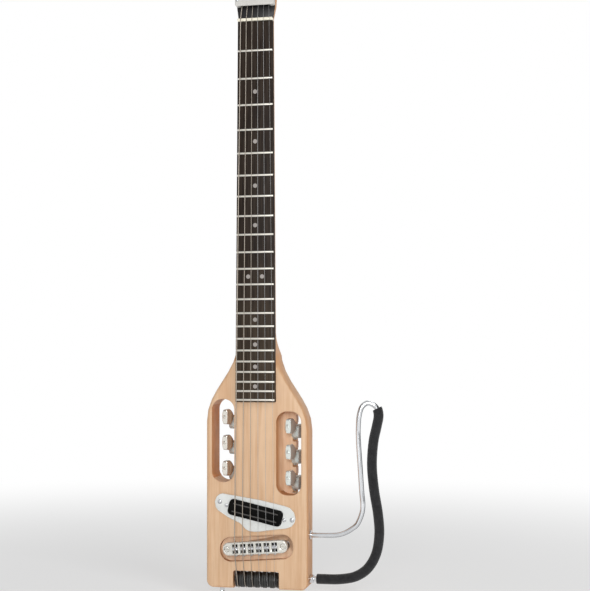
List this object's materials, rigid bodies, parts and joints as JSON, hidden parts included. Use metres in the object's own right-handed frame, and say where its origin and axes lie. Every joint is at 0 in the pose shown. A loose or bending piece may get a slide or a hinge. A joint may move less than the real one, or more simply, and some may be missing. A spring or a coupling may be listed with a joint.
{
  "type": "travel guitar",
  "caption": "Headless travel electric guitar with a through-neck maple body, tuners set in two body slots, tail rollers that turn the strings to the back, and a padded rod lap rest.",
  "frame": {"origin": "on the flat back of the body, on the centre line, 195 mm up from the line of the saddles", "axes": "+Z runs from the tail to the head, -Y is the front where the strings are, +X is the treble side with the lap rest"},
  "size_m": [0.2151, 0.0576, 0.7217],
  "materials": {
    "maple": "satin",
    "dark_wood": "open-pored matt",
    "ivory_plastic": "polished",
    "black_plastic": "satin",
    "white_plastic": "gloss",
    "chrome": "polished",
    "plain_steel": "plain",
    "string_wire": "drawn and wound wire",
    "foam_rubber": "closed-cell foam"
  },
  "bodies": {
    "root": {"neck_through_body": "maple", "fingerboard": "dark_wood", "nut": "ivory_plastic", "head_overlay": "black_plastic", "head_cap": "white_plastic", "string_anchor": "plain_steel", "truss_rod": "plain_steel", "string_1": "string_wire", "string_2": "string_wire", "string_3": "string_wire", "string_4": "string_wire", "string_5": "string_wire", "string_6": "string_wire", "pickup_surround": "white_plastic", "bridge": "chrome", "bridge_post_bass": "chrome", "bridge_post_treble": "chrome", "bridge_bushing_bass": "plain_steel", "bridge_bushing_treble": "plain_steel", "roller_axle": "plain_steel", "tuner_case_1": "chrome", "tuner_case_2": "chrome", "tuner_case_3": "chrome", "tuner_case_4": "chrome", "tuner_case_5": "chrome", "tuner_case_6": "chrome", "lap_rest_socket_upper": "chrome", "lap_rest_socket_lower": "chrome", "strap_button_tail": "chrome", "strap_button_heel": "chrome", "output_jack": "chrome"},
    "key_6": {"tuner_key_6": "chrome"},
    "post_6": {"tuner_post_6": "chrome"},
    "key_5": {"tuner_key_5": "chrome"},
    "post_5": {"tuner_post_5": "chrome"},
    "key_4": {"tuner_key_4": "chrome"},
    "post_4": {"tuner_post_4": "chrome"},
    "key_1": {"tuner_key_1": "chrome"},
    "post_1": {"tuner_post_1": "chrome"},
    "key_2": {"tuner_key_2": "chrome"},
    "post_2": {"tuner_post_2": "chrome"},
    "key_3": {"tuner_key_3": "chrome"},
    "post_3": {"tuner_post_3": "chrome"},
    "roller_1": {"tail_roller_1": "black_plastic"},
    "roller_2": {"tail_roller_2": "black_plastic"},
    "roller_3": {"tail_roller_3": "black_plastic"},
    "roller_4": {"tail_roller_4": "black_plastic"},
    "roller_5": {"tail_roller_5": "black_plastic"},
    "roller_6": {"tail_roller_6": "black_plastic"},
    "saddle_1": {"saddle_1": "chrome"},
    "saddle_2": {"saddle_2": "chrome"},
    "saddle_3": {"saddle_3": "chrome"},
    "saddle_4": {"saddle_4": "chrome"},
    "saddle_5": {"saddle_5": "chrome"},
    "saddle_6": {"saddle_6": "chrome"},
    "lap_rest": {"lap_rest_rod": "chrome", "lap_rest_foam": "foam_rubber"},
    "pickup": {"pickup_cover": "black_plastic", "pickup_coils": "plain_steel", "pickup_base_plate": "plain_steel"}
  },
  "joints": [
    {"name": "key_6_turn", "type": "hinge", "parent": "root", "child": "key_6", "pos_m": [-0.03259, -0.00895, -0.1017], "axis": [-0.309, -0.9511, 0], "continuous": true},
    {"name": "post_6_turn", "type": "hinge", "parent": "root", "child": "post_6", "pos_m": [-0.02784, -0.0105, -0.1077], "axis": [0.9511, -0.309, 0], "continuous": true},
    {"name": "key_5_turn", "type": "hinge", "parent": "root", "child": "key_5", "pos_m": [-0.03259, -0.00895, -0.0707], "axis": [-0.309, -0.9511, 0], "continuous": true},
    {"name": "post_5_turn", "type": "hinge", "parent": "root", "child": "post_5", "pos_m": [-0.02784, -0.0105, -0.0767], "axis": [0.9511, -0.309, 0], "continuous": true},
    {"name": "key_4_turn", "type": "hinge", "parent": "root", "child": "key_4", "pos_m": [-0.03259, -0.00895, -0.0397], "axis": [-0.309, -0.9511, 0], "continuous": true},
    {"name": "post_4_turn", "type": "hinge", "parent": "root", "child": "post_4", "pos_m": [-0.02784, -0.0105, -0.0457], "axis": [0.9511, -0.309, 0], "continuous": true},
    {"name": "key_1_turn", "type": "hinge", "parent": "root", "child": "key_1", "pos_m": [0.04573, -0.01025, -0.112], "axis": [-0.309, -0.9511, 0], "continuous": true},
    {"name": "post_1_turn", "type": "hinge", "parent": "root", "child": "post_1", "pos_m": [0.04097, -0.0087, -0.118], "axis": [0.9511, -0.309, 0], "continuous": true},
    {"name": "key_2_turn", "type": "hinge", "parent": "root", "child": "key_2", "pos_m": [0.04573, -0.01025, -0.081], "axis": [-0.309, -0.9511, 0], "continuous": true},
    {"name": "post_2_turn", "type": "hinge", "parent": "root", "child": "post_2", "pos_m": [0.04097, -0.0087, -0.087], "axis": [0.9511, -0.309, 0], "continuous": true},
    {"name": "key_3_turn", "type": "hinge", "parent": "root", "child": "key_3", "pos_m": [0.04573, -0.01025, -0.05], "axis": [-0.309, -0.9511, 0], "continuous": true},
    {"name": "post_3_turn", "type": "hinge", "parent": "root", "child": "post_3", "pos_m": [0.04097, -0.0087, -0.056], "axis": [0.9511, -0.309, 0], "continuous": true},
    {"name": "roller_1_spin", "type": "hinge", "parent": "root", "child": "roller_1", "pos_m": [0.0224, -0.0247, -0.2355], "axis": [1, 0, 0], "continuous": true},
    {"name": "roller_2_spin", "type": "hinge", "parent": "root", "child": "roller_2", "pos_m": [0.0132, -0.0247, -0.2355], "axis": [1, 0, 0], "continuous": true},
    {"name": "roller_3_spin", "type": "hinge", "parent": "root", "child": "roller_3", "pos_m": [0.004, -0.0247, -0.2355], "axis": [1, 0, 0], "continuous": true},
    {"name": "roller_4_spin", "type": "hinge", "parent": "root", "child": "roller_4", "pos_m": [-0.0052, -0.0247, -0.2355], "axis": [1, 0, 0], "continuous": true},
    {"name": "roller_5_spin", "type": "hinge", "parent": "root", "child": "roller_5", "pos_m": [-0.0144, -0.0247, -0.2355], "axis": [1, 0, 0], "continuous": true},
    {"name": "roller_6_spin", "type": "hinge", "parent": "root", "child": "roller_6", "pos_m": [-0.0236, -0.0247, -0.2355], "axis": [1, 0, 0], "continuous": true},
    {"name": "saddle_1_slide", "type": "slide", "parent": "root", "child": "saddle_1", "axis": [-0.0785, 0, 0.9969], "range_m": [-0.001, 0.003]},
    {"name": "saddle_2_slide", "type": "slide", "parent": "root", "child": "saddle_2", "axis": [-0.0785, 0, 0.9969], "range_m": [-0.001, 0.003]},
    {"name": "saddle_3_slide", "type": "slide", "parent": "root", "child": "saddle_3", "axis": [-0.0785, 0, 0.9969], "range_m": [-0.001, 0.003]},
    {"name": "saddle_4_slide", "type": "slide", "parent": "root", "child": "saddle_4", "axis": [-0.0785, 0, 0.9969], "range_m": [-0.001, 0.003]},
    {"name": "saddle_5_slide", "type": "slide", "parent": "root", "child": "saddle_5", "axis": [-0.0785, 0, 0.9969], "range_m": [-0.001, 0.003]},
    {"name": "saddle_6_slide", "type": "slide", "parent": "root", "child": "saddle_6", "axis": [-0.0785, 0, 0.9969], "range_m": [-0.001, 0.003]},
    {"name": "lap_rest_slide", "type": "slide", "parent": "root", "child": "lap_rest", "axis": [1, 0, 0], "range_m": [0, 0.03]},
    {"name": "pickup_height", "type": "slide", "parent": "root", "child": "pickup", "axis": [0, -1, 0], "range_m": [-0.0015, 0.0015]}
  ],
  "couplings": [
    {"joint": "post_6_turn", "follows": "key_6_turn", "ratio": -0.071429},
    {"joint": "post_5_turn", "follows": "key_5_turn", "ratio": -0.071429},
    {"joint": "post_4_turn", "follows": "key_4_turn", "ratio": -0.071429},
    {"joint": "post_1_turn", "follows": "key_1_turn", "ratio": 0.071429},
    {"joint": "post_2_turn", "follows": "key_2_turn", "ratio": 0.071429},
    {"joint": "post_3_turn", "follows": "key_3_turn", "ratio": 0.071429}
  ]
}
